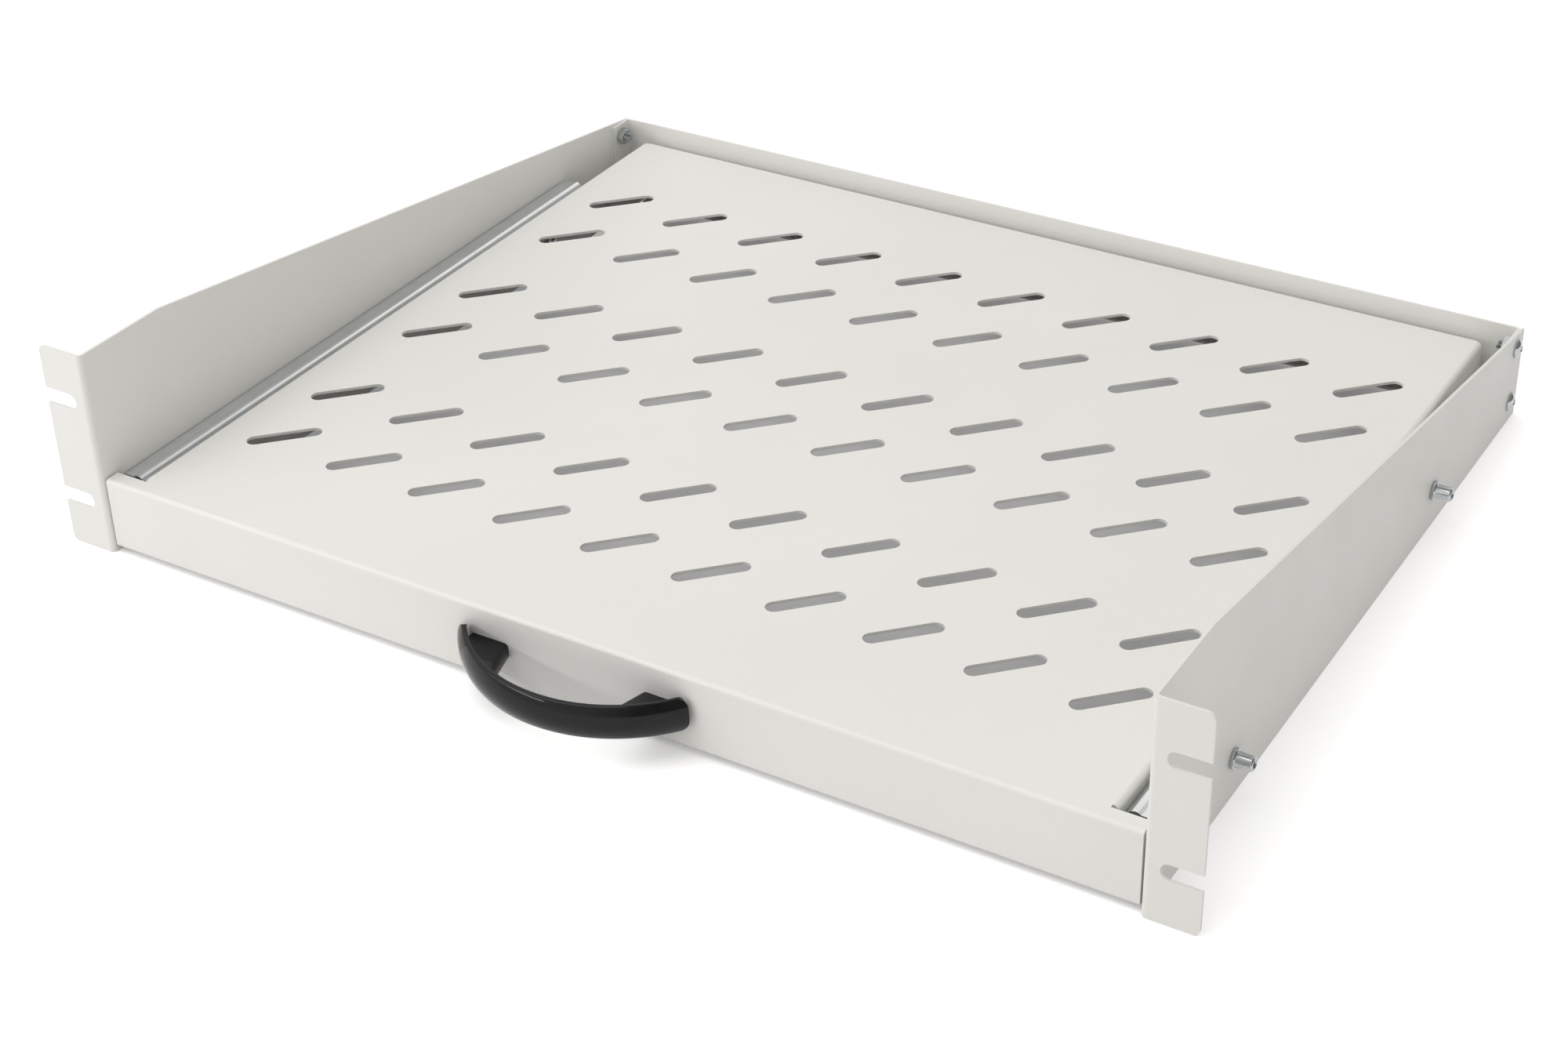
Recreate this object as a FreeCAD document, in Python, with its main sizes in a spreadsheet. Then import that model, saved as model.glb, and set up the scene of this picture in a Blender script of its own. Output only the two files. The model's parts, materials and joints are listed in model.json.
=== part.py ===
import FreeCAD, Part
import math
import os
import Sketcher
from types import SimpleNamespace

Vector = FreeCAD.Vector

# Sliding shelf for a 19-inch rack, two rack units high.
# X runs across the rack, Y into it and Z up. The origin is on the rack's rail plane,
# which the backs of the ears rest on, midway between the ears and level with their lower ends.

# Driving dimensions, in millimetres, degrees and counts
DIMENSIONS = {
    # rack ears and side plates
    "rack_width": 482.6,
    "ear_width": 19.8,
    "ear_height": 88.1,
    "ear_corner": 3.0,
    "notch_pitch": 44.45,
    "notch_width": 6.5,
    "notch_depth": 15.0,
    "plate_gauge": 1.2,
    "plate_depth": 366.8,
    "shoulder_depth": 43.0,
    "tail_height": 40.0,
    "bend_radius": 1.0,
    # rear panel
    "rear_gauge": 1.2,
    "rear_bottom": 4.0,
    "rear_rise": 0.4,
    "rear_inset": 0.8,
    "tab_depth": 13.0,
    "rear_screw_inset": 8.6,
    "rear_screw_pitch": 25.0,
    # ball slides
    "slide_length": 300.0,
    "slide_height": 28.4,
    "slide_setback": 10.0,
    "slide_level": 17.8,
    "slide_travel": 220.0,
    "member_gauge": 1.2,
    "member_bend": 0.3,
    "race_lip": 0.9,
    "race_rim": 1.0,
    "race_wrap": 70.0,
    "web_gap": 1.175,
    "ball_diameter": 3.2,
    "ball_play": 0.1,
    "cage_rim": 6.0,
    "balls_per_row": 7,
    "cage_gauge": 0.6,
    "cage_play": 0.4,
    "cage_end_play": 1.0,
    "pocket_play": 0.15,
    "stop_thickness": 0.8,
    "stop_height": 6.0,
    "stop_gap": 0.2,
    "bumper_length": 5.7,
    "bumper_height": 14.0,
    "bumper_gap": 0.3,
    # fasteners
    "thread_diameter": 4.0,
    "thread_play": 0.05,
    "hole_play": 0.2,
    "rivet_setback": 59.0,
    "rivet_rear_setback": 46.0,
    "rivet_body": 6.0,
    "rivet_flange": 9.0,
    "rivet_flange_gauge": 0.5,
    "rivet_ring": 7.8,
    "rivet_ring_width": 2.3,
    "rivet_shoulder": 6.5,
    "rivet_tip": 5.5,
    "rivet_reach": 8.0,
    "low_head": 8.0,
    "low_head_height": 1.8,
    "low_head_play": 0.6,
    "slide_screw_length": 8.0,
    "pan_head": 7.8,
    "pan_head_height": 2.4,
    "head_rim": 0.7,
    "pan_screw_length": 8.0,
    "recess_span": 4.2,
    "recess_width": 1.1,
    "recess_depth": 1.2,
    "hex_flats": 7.0,
    "hex_height": 3.2,
    "small_thread": 3.0,
    "small_head": 6.0,
    "small_head_height": 1.8,
    "small_recess_span": 3.2,
    "small_flats": 5.5,
    "small_nut_height": 2.4,
    "tray_screw_length": 6.0,
    "tray_screw_setback": 27.0,
    # tray
    "tray_gauge": 1.2,
    "tray_bend": 1.0,
    "tray_top": 33.2,
    "tray_rear_gap": 3.6,
    "panel_bend": 0.4,
    "panel_recess": 1.5,
    "panel_clearance": 0.8,
    "panel_bottom": 2.6,
    "strip_depth": 6.7,
    "corner_relief": 1.5,
    "rear_corner_slit": 0.6,
    "flange_bottom": 4.8,
    "lip_depth": 7.0,
    "rear_lip_depth": 9.4,
    "slot_length": 30.0,
    "slot_width": 6.5,
    "slot_angle": 45.0,
    "slot_setback": 60.1,
    "slot_margin": 27.1,
    "column_count": 10,
    "row_pitch": 40.0,
    "pair_pitch": 100.0,
    "pair_count": 3,
    # handle
    "handle_span": 93.4,
    "handle_bow": 24.1,
    "handle_gap": 0.3,
    "handle_level": 18.7,
    "handle_corner": 3.6,
    "band_height": 13.8,
    "band_thickness": 3.9,
    "crown_height": 2.2,
    "foot_end_gap": 2.2,
    "foot_width": 15.6,
    "foot_flare": 5.5,
    "foot_height": 6.4,
    "foot_drop": 1.1,
    "foot_chamfer": 1.5,
    "foot_bite": 0.7,
    "handle_screw_depth": 8.0,
    "handle_hole_spare": 1.0,
}

doc = FreeCAD.newDocument("sliding_rack_shelf")
sheet = doc.addObject("Spreadsheet::Sheet", "Sizes")
for row, (alias, number) in enumerate(DIMENSIONS.items(), start=1):
    sheet.set("A%d" % row, alias)
    sheet.set("B%d" % row, str(number))
    sheet.setAlias("B%d" % row, alias)
doc.recompute()


class Size:
    """A number together with the sheet formula that it comes from."""

    def __init__(self, value, text):
        self.value = float(value)
        self.text = text

    def __add__(self, other):
        other = as_size(other)
        return Size(self.value + other.value, "(%s + %s)" % (self.text, other.text))

    def __sub__(self, other):
        other = as_size(other)
        return Size(self.value - other.value, "(%s - %s)" % (self.text, other.text))

    def __mul__(self, other):
        other = as_size(other)
        return Size(self.value * other.value, "(%s * %s)" % (self.text, other.text))

    def __truediv__(self, other):
        other = as_size(other)
        return Size(self.value / other.value, "(%s / %s)" % (self.text, other.text))

    def __neg__(self):
        return self * -1

    def __radd__(self, other):
        return as_size(other) + self

    def __rsub__(self, other):
        return as_size(other) - self

    def __rmul__(self, other):
        return as_size(other) * self

    def root(self):
        return Size(math.sqrt(self.value), "sqrt(%s)" % self.text)

    def cosine(self):
        return Size(math.cos(math.radians(self.value)), "cos(%s * 1 deg)" % self.text)

    def sine(self):
        return Size(math.sin(math.radians(self.value)), "sin(%s * 1 deg)" % self.text)

    def arcsine(self):
        return Size(math.degrees(math.asin(self.value)), "asin(%s)" % self.text)


def as_size(number):
    if isinstance(number, Size):
        return number
    return Size(number, "(%r)" % number)


def bind(item, path, size):
    """Sets a property, or a part of one, from the sheet."""
    item.setExpression(path, as_size(size).text)


dim = SimpleNamespace(**{alias: Size(sheet.get(alias), "Sizes." + alias) for alias in DIMENSIONS})
ZERO = as_size(0)
SIDES = dict(zip(("left", "right"), (-1, 1)))

# Origin planes whose normal points against their axis, and the points of a sketch's geometry
BACKWARD_PLANES = ["XZ_Plane"]
POINT_NAMES = ["edge", "start", "end", "centre"]

# Each sub-part, by the name of its file
nodes = {}


def new_body(label, is_node=True):
    body = doc.addObject("PartDesign::Body", label)
    body.Label = label
    if is_node:
        nodes[label] = body
    return body


def origin_feature(body, role):
    return next(item for item in body.Origin.OriginFeatures if item.Role == role)


def place(body, x, y, z, direction=None):
    """Puts a body at a point, with its own Z axis turned to a direction."""
    turn = FreeCAD.Rotation(Vector(0, 0, 1), Vector(*(direction or (0, 0, 1))))
    body.Placement = FreeCAD.Placement(Vector(x.value, y.value, z.value), turn)
    bind(body, "Placement.Base.x", x)
    bind(body, "Placement.Base.y", y)
    bind(body, "Placement.Base.z", z)


def new_sketch(body, name, role, level):
    """A sketch on one of the body's own planes, moved along that plane's axis to a level."""
    sketch = body.newObject("Sketcher::SketchObject", name)
    sketch.AttachmentSupport = [(origin_feature(body, role), "")]
    sketch.MapMode = "FlatFace"
    bind(sketch, "AttachmentOffset.Base.z", -level if role in BACKWARD_PLANES else level)
    return sketch


def point(name):
    """Number of a named point of a sketch's geometry."""
    return POINT_NAMES.index(name)


def fix_point(sketch, geometry, end, x, y):
    """Ties a point to the sketch's origin. A coordinate of None stays free."""
    for kind, size in (("DistanceX", x), ("DistanceY", y)):
        if size is None:
            continue
        size = as_size(size)
        index = sketch.addConstraint(Sketcher.Constraint(kind, -1, 1, geometry, end, size.value))
        bind(sketch, "Constraints[%d]" % index, size)


def fix_radius(sketch, geometry, radius):
    index = sketch.addConstraint(Sketcher.Constraint("Radius", geometry, radius.value))
    bind(sketch, "Constraints[%d]" % index, radius)


def flat(pair):
    return Vector(as_size(pair[0]).value, as_size(pair[1]).value, 0)


def arc_between(start, end, centre, radius):
    """The shorter arc about a centre from one point to another."""
    first = math.atan2(start.y - centre.y, start.x - centre.x)
    last = math.atan2(end.y - centre.y, end.x - centre.x)
    turn = (last - first) % (2 * math.pi)
    circle = Part.Circle(centre, Vector(0, 0, 1), radius)
    if turn <= math.pi:
        return Part.ArcOfCircle(circle, first, first + turn), False
    return Part.ArcOfCircle(circle, last, last + 2 * math.pi - turn), True


def draw_outline(sketch, corners, arcs=None):
    """Draws a closed outline. arcs maps a corner's number to the centre and radius of the arc
    that leaves it. The end of an arc is held in the direction it would move along the arc."""
    arcs = arcs or {}
    count = len(corners)
    points = [flat(corner) for corner in corners]
    first = sketch.GeometryCount
    starts, ends = [], []
    for number in range(count):
        here, there = points[number], points[(number + 1) % count]
        near, far = point("start"), point("end")
        if number in arcs:
            centre, radius = arcs[number]
            curve, backwards = arc_between(here, there, flat(centre), radius.value)
            if backwards:
                near, far = far, near
        else:
            curve = Part.LineSegment(here, there)
        sketch.addGeometry(curve)
        starts.append((first + number, near))
        ends.append((first + number, far))
    for number in range(count):
        after = starts[(number + 1) % count]
        sketch.addConstraint(Sketcher.Constraint("Coincident", *ends[number], *after))
    for number, (x, y) in enumerate(corners):
        arc = arcs.get(number) or arcs.get((number - 1) % count)
        if arc:
            offset = points[number] - flat(arc[0])
            steep = abs(offset.y) > abs(offset.x)
            x, y = (x, None) if steep else (None, y)
        fix_point(sketch, *starts[number], x, y)
    for number, (centre, radius) in arcs.items():
        fix_point(sketch, first + number, point("centre"), *centre)
        fix_radius(sketch, first + number, radius)


def draw_circles(sketch, centres, radius):
    for x, y in centres:
        circle = Part.Circle(flat((x, y)), Vector(0, 0, 1), radius.value)
        geometry = sketch.addGeometry(circle)
        fix_point(sketch, geometry, point("centre"), x, y)
        fix_radius(sketch, geometry, radius)


def draw_slot(sketch, first_centre, last_centre, radius):
    """An obround between two centres."""
    start, finish = flat(first_centre), flat(last_centre)
    along = math.atan2(finish.y - start.y, finish.x - start.x)
    across = Vector(-math.sin(along), math.cos(along), 0) * radius.value
    near = Part.Circle(start, Vector(0, 0, 1), radius.value)
    far = Part.Circle(finish, Vector(0, 0, 1), radius.value)
    quarter = math.pi / 2
    near_arc = sketch.addGeometry(Part.ArcOfCircle(near, along + quarter, along + 3 * quarter))
    far_arc = sketch.addGeometry(Part.ArcOfCircle(far, along - quarter, along + quarter))
    low_side = sketch.addGeometry(Part.LineSegment(start - across, finish - across))
    high_side = sketch.addGeometry(Part.LineSegment(finish + across, start + across))
    loop = [near_arc, low_side, far_arc, high_side]
    for number, curve in enumerate(loop):
        after = loop[(number + 1) % len(loop)]
        sketch.addConstraint(Sketcher.Constraint("Tangent", curve, point("end"), after, point("start")))
    fix_point(sketch, near_arc, point("centre"), *first_centre)
    fix_point(sketch, far_arc, point("centre"), *last_centre)
    fix_radius(sketch, near_arc, radius)


def pad(body, sketch, length):
    """Adds material from a sketch along its normal."""
    feature = body.newObject("PartDesign::Pad", sketch.Name + "_pad")
    feature.Profile = sketch
    bind(feature, "Length", length)
    return feature


def pad_between(body, name, role, corners, low, high, arcs=None):
    """Adds a prism between two levels along the plane's axis."""
    sketch = new_sketch(body, name, role, high if role in BACKWARD_PLANES else low)
    draw_outline(sketch, corners, arcs)
    return pad(body, sketch, high - low)


def cut_between(body, name, role, draw, low, high):
    """Removes what a drawing covers between two levels along the plane's axis."""
    sketch = new_sketch(body, name, role, low if role in BACKWARD_PLANES else high)
    draw(sketch)
    feature = body.newObject("PartDesign::Pocket", name + "_cut")
    feature.Profile = sketch
    bind(feature, "Length", high - low)
    before = body_volume(body)
    doc.recompute()
    if not body_volume(body) < before:
        raise RuntimeError("%s cuts nothing" % name)
    return feature


def body_volume(body):
    return 0 if body.Shape.isNull() else body.Shape.Volume


def revolve(body, name, corners, arcs=None):
    """Turns an outline on the XZ plane about the body's Z axis."""
    sketch = new_sketch(body, name, "XZ_Plane", ZERO)
    draw_outline(sketch, corners, arcs)
    feature = body.newObject("PartDesign::Revolution", name + "_turn")
    feature.Profile = sketch
    feature.ReferenceAxis = (sketch, ["V_Axis"])
    feature.Angle = 360
    return feature


def edges_along(shape, axis, places):
    """Names of the straight edges along an axis through the given places, each a pair of the
    other two coordinates in X, Y, Z order."""
    found = []
    others = [letter for letter in "xyz" if letter != axis]
    for number, edge in enumerate(shape.Edges, start=1):
        ends = [vertex.Point for vertex in edge.Vertexes]
        if len(ends) != 2 or not isinstance(edge.Curve, Part.Line):
            continue
        for pair in places:
            wanted = [as_size(size).value for size in pair]
            if all(abs(getattr(end, letter) - size) < 1e-4
                   for end in ends for letter, size in zip(others, wanted)):
                found.append("Edge%d" % number)
    return found


def round_edges(body, name, axis, places, radius):
    """Rounds the body's edges along an axis through the given places."""
    doc.recompute()
    names = edges_along(body.Tip.Shape, axis, places)
    if len(names) < len(places):
        raise RuntimeError("%s finds %d edges of %d" % (name, len(names), len(places)))
    dress_edges(body, name, "PartDesign::Fillet", "Radius", names, radius)


def dress_edges(body, name, kind, path, names, size):
    """Adds a fillet or a chamfer to named edges of the body."""
    base = body.Tip
    feature = body.newObject(kind, name)
    feature.Base = (base, names)
    bind(feature, path, size)


def group(label, members):
    """One node of separate, identical solids."""
    compound = doc.addObject("Part::Compound", label)
    compound.Label = label
    compound.Links = members
    nodes[label] = compound


def rectangle(x_low, x_high, y_low, y_high):
    return [(x_low, y_low), (x_high, y_low), (x_high, y_high), (x_low, y_high)]


def fastener(thread, flats, nut_height, recess_span):
    """Sizes that a screw shares with its nut and its holes."""
    radius = thread / 2
    return SimpleNamespace(radius=radius, shank=radius - dim.thread_play, clear=radius + dim.hole_play,
                           flats=flats, nut_height=nut_height, recess_span=recess_span)


# Screws of the fixed frame, and the smaller ones of the tray
frame_fastener = fastener(dim.thread_diameter, dim.hex_flats, dim.hex_height, dim.recess_span)
tray_fastener = fastener(dim.small_thread, dim.small_flats, dim.small_nut_height, dim.small_recess_span)

# Places that several pieces share
plate_outer = dim.rack_width / 2 - dim.ear_width
plate_inner = plate_outer - dim.plate_gauge
rear_edge = dim.plate_depth
rear_face = rear_edge - dim.rear_inset
rear_screw_y = rear_edge - dim.rear_screw_inset
rear_top = dim.tail_height + dim.rear_rise
rear_middle = (dim.rear_bottom + rear_top) / 2
rear_screw_levels = [rear_middle + dim.rear_screw_pitch * share for share in (-0.5, 0.5)]
tab_inner = plate_inner - dim.rear_gauge

# Section of a slide: u is measured from the fixed rail's back towards the tray, v from mid-height
ball_radius = dim.ball_diameter / 2
race_radius = ball_radius + dim.ball_play
crest_radius = race_radius + dim.member_gauge
ball_v = dim.slide_height / 2 - crest_radius
outer_inside_v = ball_v + dim.race_lip
outer_outside_v = outer_inside_v + dim.member_gauge
inner_outside_v = ball_v - dim.race_lip
inner_inside_v = inner_outside_v - dim.member_gauge
lip_and_gauge = dim.race_lip + dim.member_gauge
race_half = (race_radius * race_radius - dim.race_lip * dim.race_lip).root()
crest_half = (crest_radius * crest_radius - lip_and_gauge * lip_and_gauge).root()
cage_web_u = dim.member_gauge + dim.low_head_height + dim.low_head_play
inner_tip_u = cage_web_u + dim.cage_gauge + dim.cage_play
ball_u = inner_tip_u + dim.race_rim + crest_half
wrap_across, wrap_up = dim.race_wrap.sine(), dim.race_wrap.cosine()
flange_end_u = ball_u + crest_radius * wrap_across
inner_web_u = flange_end_u + dim.web_gap
slide_thickness = inner_web_u + dim.member_gauge
slide_back = plate_inner - dim.rivet_flange_gauge
tray_half = slide_back - slide_thickness

# Stations of a slide along Y
slide_front = dim.slide_setback
slide_rear = slide_front + dim.slide_length
inner_rear = slide_rear - dim.bumper_length - dim.bumper_gap
cage_length = inner_rear - slide_front - dim.slide_travel - dim.cage_end_play * 2
cage_front = slide_front + dim.slide_travel / 2 + dim.cage_end_play
rivet_stations = [slide_front + dim.rivet_setback, slide_rear - dim.rivet_rear_setback]
tray_screw_stations = [slide_front + dim.tray_screw_setback, inner_rear - dim.tray_screw_setback]

# Tray
panel_face = dim.panel_recess - dim.plate_gauge
panel_back = panel_face + dim.tray_gauge
panel_half = plate_inner - dim.panel_clearance
strip_rear = panel_face + dim.strip_depth
deck_front = strip_rear + dim.corner_relief
deck_under = dim.tray_top - dim.tray_gauge
tray_rear = rear_face - dim.rear_gauge - dim.tray_rear_gap
tray_fold = dim.tray_bend + dim.tray_gauge
panel_fold = dim.panel_bend + dim.tray_gauge

# Handle
half_span = dim.handle_span / 2
bow_radius = (half_span * half_span + dim.handle_bow * dim.handle_bow) / (dim.handle_bow * 2)
foot_outer = half_span - dim.foot_end_gap
foot_inner = foot_outer - dim.foot_width
handle_screw_x = (foot_inner + foot_outer) / 2
handle_screw_level = dim.handle_level - dim.foot_drop


def slide_x(side, u):
    """X of a place in a slide's section."""
    return (slide_back - u) * side


def side_plate(name, side):
    """Folded plate: a tall shoulder behind the ear, then a top edge that falls to the rear."""
    body = new_body(name + "_side_plate")
    ear_tip = dim.rack_width / 2
    front = -dim.plate_gauge
    plan = [(plate_inner, front), (ear_tip, front), (ear_tip, ZERO),
            (plate_outer, ZERO), (plate_outer, rear_edge), (plate_inner, rear_edge)]
    pad_between(body, body.Name + "_fold", "XY_Plane", [(x * side, y) for x, y in plan],
                ZERO, dim.ear_height)
    round_edges(body, body.Name + "_bend_outside", "z", [(plate_inner * side, front)],
                dim.bend_radius + dim.plate_gauge)
    round_edges(body, body.Name + "_bend_inside", "z", [(plate_outer * side, ZERO)], dim.bend_radius)

    low_x, high_x = sorted((plate_inner * side, plate_outer * side), key=lambda size: size.value)
    slope = [(dim.shoulder_depth, dim.ear_height), (rear_edge, dim.tail_height), (rear_edge, dim.ear_height)]
    cut_between(body, body.Name + "_slope", "YZ_Plane",
                lambda sketch: draw_outline(sketch, slope), low_x, high_x)
    rivet_holes = [(y, dim.slide_level) for y in rivet_stations]
    cut_between(body, body.Name + "_rivet_holes", "YZ_Plane",
                lambda sketch: draw_circles(sketch, rivet_holes, dim.rivet_body / 2 + dim.thread_play),
                low_x, high_x)
    screw_holes = [(rear_screw_y, z) for z in rear_screw_levels]
    cut_between(body, body.Name + "_rear_holes", "YZ_Plane",
                lambda sketch: draw_circles(sketch, screw_holes, frame_fastener.clear), low_x, high_x)

    round_edges(body, body.Name + "_ear_corners", "y",
                [(ear_tip * side, ZERO), (ear_tip * side, dim.ear_height)], dim.ear_corner)
    notch_radius = dim.notch_width / 2
    for step, word in ((-0.5, "lower"), (0.5, "upper")):
        level = dim.ear_height / 2 + dim.notch_pitch * step
        root_x = (ear_tip - dim.notch_depth + notch_radius) * side
        mouth_x = (ear_tip + notch_radius) * side
        cut_between(body, "%s_%s_notch" % (body.Name, word), "XZ_Plane",
                    lambda sketch: draw_slot(sketch, (root_x, level), (mouth_x, level), notch_radius),
                    front, ZERO)


def rear_panel():
    """Low strip across the back, with its ends folded forward inside the plates."""
    body = new_body("rear_panel")
    gauge = dim.rear_gauge
    tab_front = rear_face - dim.tab_depth
    plan = [(-plate_inner, tab_front), (-tab_inner, tab_front), (-tab_inner, rear_face - gauge),
            (tab_inner, rear_face - gauge), (tab_inner, tab_front), (plate_inner, tab_front),
            (plate_inner, rear_face), (-plate_inner, rear_face)]
    pad_between(body, "rear_fold", "XY_Plane", plan, dim.rear_bottom, rear_top)
    round_edges(body, "rear_bend_outside", "z",
                [(-plate_inner, rear_face), (plate_inner, rear_face)], dim.bend_radius + gauge)
    round_edges(body, "rear_bend_inside", "z",
                [(-tab_inner, rear_face - gauge), (tab_inner, rear_face - gauge)], dim.bend_radius)
    holes = [(rear_screw_y, z) for z in rear_screw_levels]
    for name, low, high in (("left", -plate_inner, -tab_inner), ("right", tab_inner, plate_inner)):
        cut_between(body, "rear_holes_" + name, "YZ_Plane",
                    lambda sketch: draw_circles(sketch, holes, frame_fastener.clear), low, high)


def cross_recess(body, span, top):
    """Cross-shaped driver recess in a head whose top is at a level."""
    arm, half = span / 2, dim.recess_width / 2
    cross = [(half, half), (half, arm), (-half, arm), (-half, half), (-arm, half), (-arm, -half),
             (-half, -half), (-half, -arm), (half, -arm), (half, -half), (arm, -half), (arm, half)]
    cut_between(body, body.Name + "_recess", "XY_Plane",
                lambda sketch: draw_outline(sketch, cross), top - dim.recess_depth, top)


def screw(label, kind, head_diameter, head_height, length):
    """Machine screw with a rounded head. Its origin is under the head, and its Z axis points out of it."""
    body = new_body(label, is_node=False)
    radius, dome = head_diameter / 2, head_height - dim.head_rim
    dome_radius = (radius * radius + dome * dome) / (dome * 2)
    outline = [(ZERO, -length), (kind.shank, -length), (kind.shank, ZERO), (radius, ZERO),
               (radius, dim.head_rim), (ZERO, head_height)]
    revolve(body, label + "_outline", outline, {4: ((ZERO, head_height - dome_radius), dome_radius)})
    doc.recompute()
    cross_recess(body, kind.recess_span, head_height)
    return body


def hex_nut(label, kind):
    """Hexagon nut. Its origin is on its seat, and its Z axis points away from the seat."""
    body = new_body(label, is_node=False)
    corner_radius = kind.flats / math.sqrt(3)
    corners = []
    for step in range(6):
        angle = math.radians(60 * step)
        corners.append((corner_radius * math.cos(angle), corner_radius * math.sin(angle)))
    pad_between(body, label + "_hexagon", "XY_Plane", corners, ZERO, kind.nut_height)
    doc.recompute()
    cut_between(body, label + "_thread", "XY_Plane",
                lambda sketch: draw_circles(sketch, [(ZERO, ZERO)], kind.radius), ZERO, kind.nut_height)
    return body


def rivet_nut(label):
    """Blind rivet nut, set. Its origin is on the plate's inner face, under the flange, and its
    Z axis points out through the plate to the open end of the barrel."""
    body = new_body(label, is_node=False)
    plate, ring_end = dim.plate_gauge, dim.plate_gauge + dim.rivet_ring_width
    end = plate + dim.rivet_reach
    thread_radius = frame_fastener.radius
    body_radius, ring_radius, tip_radius = dim.rivet_body / 2, dim.rivet_ring / 2, dim.rivet_tip / 2
    nose = end - (tip_radius - thread_radius)
    outline = [(thread_radius, -dim.rivet_flange_gauge), (dim.rivet_flange / 2, -dim.rivet_flange_gauge),
               (dim.rivet_flange / 2, ZERO), (body_radius, ZERO), (body_radius, plate),
               (ring_radius, plate), (ring_radius, ring_end), (dim.rivet_shoulder / 2, ring_end),
               (tip_radius, nose), (thread_radius, end)]
    tip_arc = {8: ((thread_radius, nose), tip_radius - thread_radius)}
    revolve(body, label + "_outline", outline, tip_arc)
    return body


def rear_fasteners():
    """Screws through the plates into nuts on the tabs' inner faces."""
    screws, nuts = [], []
    for name, side in SIDES.items():
        for number, level in enumerate(rear_screw_levels, start=1):
            tag = "%s_%d" % (name, number)
            bolt = screw("rear_screw_" + tag, frame_fastener, dim.pan_head, dim.pan_head_height,
                         dim.pan_screw_length)
            place(bolt, plate_outer * side, rear_screw_y, level, (side, 0, 0))
            screws.append(bolt)
            nut = hex_nut("rear_nut_" + tag, frame_fastener)
            place(nut, tab_inner * side, rear_screw_y, level, (-side, 0, 0))
            nuts.append(nut)
    group("rear_panel_screws", screws)
    group("rear_panel_nuts", nuts)


def slide_outer_member(name, side):
    """Fixed rail: a channel open towards the tray, whose flanges roll over the rows of balls."""
    body = new_body(name + "_slide_outer_member")
    half = []
    half.append((ZERO, outer_outside_v))
    half.append((ball_u - crest_half, outer_outside_v))
    half.append((flange_end_u, ball_v + crest_radius * wrap_up))
    half.append((ball_u + race_radius * wrap_across, ball_v + race_radius * wrap_up))
    half.append((ball_u - race_half, outer_inside_v))
    half.append((dim.member_gauge, outer_inside_v))
    section = half + [(u, -v) for u, v in reversed(half)]
    last = len(section) - 1
    arcs = {1: (1, crest_radius), 3: (1, race_radius),
            last - 4: (-1, race_radius), last - 2: (-1, crest_radius)}
    pad_rail(body, side, section, arcs, slide_front, slide_rear)
    back, inside = slide_x(side, ZERO), slide_x(side, dim.member_gauge)
    low_x, high_x = sorted((back, inside), key=lambda size: size.value)
    levels = [dim.slide_level + outer_outside_v, dim.slide_level - outer_outside_v]
    round_edges(body, body.Name + "_bends", "y", [(back, z) for z in levels],
                dim.member_bend + dim.member_gauge)
    inner_levels = [dim.slide_level + outer_inside_v, dim.slide_level - outer_inside_v]
    round_edges(body, body.Name + "_bends_inside", "y", [(inside, z) for z in inner_levels], dim.member_bend)
    stop_x = sorted((inside, slide_x(side, cage_web_u + dim.cage_gauge - dim.stop_gap)),
                    key=lambda size: size.value)
    stop = rectangle(*stop_x, dim.slide_level - dim.stop_height / 2, dim.slide_level + dim.stop_height / 2)
    pad_between(body, body.Name + "_stop", "XZ_Plane", stop, slide_front, slide_front + dim.stop_thickness)
    doc.recompute()
    holes = [(y, dim.slide_level) for y in rivet_stations]
    cut_between(body, body.Name + "_holes", "YZ_Plane",
                lambda sketch: draw_circles(sketch, holes, frame_fastener.clear), low_x, high_x)


def slide_inner_member(name, side):
    """Moving rail: a smaller channel on the tray's side, with a sunk ball race in each flange."""
    body = new_body(name + "_slide_inner_member")
    half = []
    half.append((slide_thickness, inner_outside_v))
    half.append((ball_u + race_half, inner_outside_v))
    half.append((ball_u - race_half, inner_outside_v))
    half.append((inner_tip_u, inner_outside_v))
    half.append((inner_tip_u, inner_inside_v))
    half.append((ball_u - crest_half, inner_inside_v))
    half.append((ball_u + crest_half, inner_inside_v))
    half.append((inner_web_u, inner_inside_v))
    section = half + [(u, -v) for u, v in reversed(half)]
    last = len(section) - 1
    arcs = {1: (1, race_radius), 5: (1, crest_radius),
            last - 6: (-1, crest_radius), last - 2: (-1, race_radius)}
    pad_rail(body, side, section, arcs, slide_front, inner_rear)
    face = slide_x(side, slide_thickness)
    levels = [dim.slide_level + inner_outside_v, dim.slide_level - inner_outside_v]
    round_edges(body, body.Name + "_bends", "y", [(face, z) for z in levels],
                dim.member_bend + dim.member_gauge)
    tab_tip = slide_x(side, cage_web_u - dim.stop_gap)
    tab_x = sorted((tab_tip, slide_x(side, inner_tip_u)), key=lambda size: size.value)
    for word, sign in (("upper", 1), ("lower", -1)):
        tab_z = sorted((dim.slide_level + inner_inside_v * sign, dim.slide_level + inner_outside_v * sign),
                       key=lambda size: size.value)
        pad_between(body, "%s_%s_stop" % (body.Name, word), "XZ_Plane", rectangle(*tab_x, *tab_z),
                    inner_rear - dim.stop_thickness, inner_rear)
    doc.recompute()
    low_x, high_x = sorted((slide_x(side, inner_web_u), face), key=lambda size: size.value)
    holes = [(y, dim.slide_level) for y in tray_screw_stations]
    cut_between(body, body.Name + "_holes", "YZ_Plane",
                lambda sketch: draw_circles(sketch, holes, tray_fastener.clear), low_x, high_x)


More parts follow.
